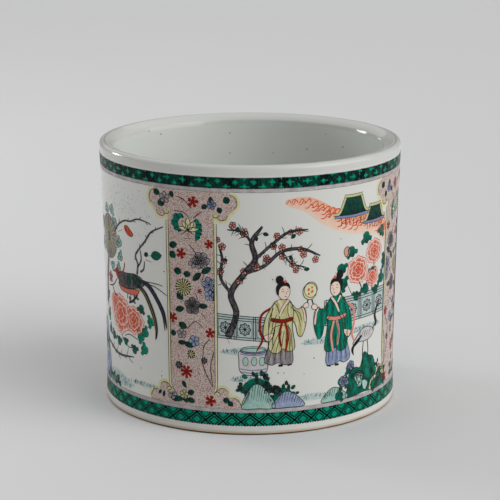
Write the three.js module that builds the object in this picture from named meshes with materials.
// A porcelain brush pot, standing on its foot ring at z = 0, in millimetres with +Z up.
//
// It is one piece of clay, thrown and turned on a wheel, so it is one solid of revolution.
// The section runs out along the underside, up the waisted wall, over the moulded lip and
// back down the inside to the floor. Each stretch of it has its own function below.

import * as THREE from "three";

// Outside: the wall is narrowest at the waist, spreads a little to the foot and flares to the lip
const height = 157.4; // from the table to the crest of the lip
const rimDiameter = 180; // widest, at the outer edge of the lip
const waistDiameter = 174.2;
const waistHeight = 27;
const footDiameter = 175.4;
const flarePower = 1.7; // how late the wall flares: 1 is a straight cone
const footFlarePower = 2;

// Lip: a rounded outer edge, a fine turned groove on the crest and a broad bevel down into the mouth
const lipWidth = 10; // from the outer edge to the mouth
const lipEdgeRadius = 2.4;
const grooveWidth = 1.3;
const grooveDepth = 0.25;
const beadWidth = 0.5; // the raised line between the groove and the bevel
const bevelDrop = 3.4; // from the crest to the edge of the mouth
const bevelKneeIn = 0.6; // how far outside the mouth the bevel turns down into it
const bevelKneeDrop = 2.2;

// Inside
const wallAtFloor = 9.2;
const floorThickness = 9;
const floorFilletRadius = 9;
const floorRise = 0.6; // the floor is a little higher at its middle

// Underside: a broad bare ring round a sunken glazed base
const footBevelWidth = 1.1; // the pared outer edge of the ring
const footBevelHeight = 1.5;
const footRingWidth = 15;
const recessDepth = 2.6;
const recessSlope = 1.6; // how far the side of the recess leans in
const recessRise = 0.7;

// Facets
const aroundSegments = 96;
const belowWaistSteps = 3;
const aboveWaistSteps = 7;
const lipEdgeSteps = 4;
const grooveSteps = 4;
const bevelSteps = 4;
const insideSteps = 6;
const filletSteps = 5;
const domeSteps = 2;

const rimRadius = rimDiameter / 2;
const waistRadius = waistDiameter / 2;
const footRadius = footDiameter / 2;
const mouthRadius = rimRadius - lipWidth;
const mouthHeight = height - bevelDrop;
const lipFoot = height - lipEdgeRadius; // where the wall meets the rounded edge of the lip
const point = (radius, z) => new THREE.Vector2(radius, z);

// Points from one share of a stretch to another, both ends included.
function stretch(steps, pointAt) {
  return Array.from({ length: steps + 1 }, (_, i) => pointAt(i / steps));
}

// The outer radius of the wall at a height above the table.
function wallRadius(z) {
  if (z < waistHeight) {
    const down = (waistHeight - z) / (waistHeight - footBevelHeight);
    return waistRadius + (footRadius - waistRadius) * down ** footFlarePower;
  }
  const up = (z - waistHeight) / (lipFoot - waistHeight);
  return waistRadius + (rimRadius - waistRadius) * up ** flarePower;
}

// The wall thickens evenly from the floor to the lip.
function innerRadius(z) {
  const share = (z - floorThickness) / (mouthHeight - floorThickness);
  const wall = THREE.MathUtils.lerp(wallAtFloor, wallRadius(mouthHeight) - mouthRadius, share);
  return wallRadius(z) - wall;
}

// A low dome, as the turning tool leaves it, from its edge to the axis.
function dome(edgeRadius, edgeHeight, rise) {
  return stretch(domeSteps, (share) =>
    point(edgeRadius * (1 - share), edgeHeight + rise * (1 - (1 - share) ** 2)),
  );
}

// From the axis out to the pared edge of the foot.
function underside() {
  const ringInner = footRadius - footBevelWidth - footRingWidth;
  const recess = dome(ringInner - recessSlope, recessDepth, recessRise).reverse();
  return [...recess, point(ringInner, 0), point(footRadius - footBevelWidth, 0)];
}

function outerWall() {
  const upTo = (from, to, steps) =>
    stretch(steps, (share) => {
      const z = THREE.MathUtils.lerp(from, to, share);
      return point(wallRadius(z), z);
    });
  const below = upTo(footBevelHeight, waistHeight, belowWaistSteps);
  const above = upTo(waistHeight, lipFoot, aboveWaistSteps);
  return [...below, ...above.slice(1)];
}

// From the outer edge of the lip over the crest and the groove to the edge of the mouth.
function lip() {
  const crestRadius = rimRadius - lipEdgeRadius;
  const edge = stretch(lipEdgeSteps, (share) => {
    const angle = (share * Math.PI) / 2;
    return point(crestRadius + lipEdgeRadius * Math.cos(angle), lipFoot + lipEdgeRadius * Math.sin(angle));
  });
  const groove = stretch(grooveSteps, (share) => {
    const sunk = grooveDepth * Math.sin(share * Math.PI) ** 2;
    return point(crestRadius - grooveWidth * share, height - sunk);
  });
  const bevelStart = crestRadius - grooveWidth - beadWidth;
  const bevel = new THREE.QuadraticBezierCurve(
    point(bevelStart, height),
    point(mouthRadius + bevelKneeIn, height - bevelKneeDrop),
    point(mouthRadius, mouthHeight),
  ).getPoints(bevelSteps);
  return [...edge.slice(1), ...groove.slice(1), ...bevel];
}

// Down the inner wall, round the fillet and in over the floor to the axis.
function inside() {
  const filletTop = floorThickness + floorFilletRadius;
  const floorRadius = innerRadius(filletTop) - floorFilletRadius;
  const wall = stretch(insideSteps, (share) => {
    const z = THREE.MathUtils.lerp(mouthHeight, filletTop, share);
    return point(innerRadius(z), z);
  });
  const fillet = stretch(filletSteps, (share) => {
    const angle = (share * Math.PI) / 2;
    return point(
      floorRadius + floorFilletRadius * Math.cos(angle),
      filletTop - floorFilletRadius * Math.sin(angle),
    );
  });
  const floor = dome(floorRadius, floorThickness, floorRise);
  return [...wall.slice(1), ...fillet.slice(1), ...floor.slice(1)];
}

function potGeometry() {
  const section = [...underside(), ...outerWall(), ...lip(), ...inside()];
  const geometry = new THREE.LatheGeometry(section, aroundSegments);
  return geometry.rotateX(Math.PI / 2);
}

const porcelain = new THREE.MeshStandardMaterial({
  color: 0xdfe1db,
  roughness: 0.14,
  metalness: 0,
});

const brushPot = new THREE.Group();
const pot = new THREE.Mesh(potGeometry(), porcelain);
pot.name = "porcelain_pot";
brushPot.add(pot);

export default brushPot;
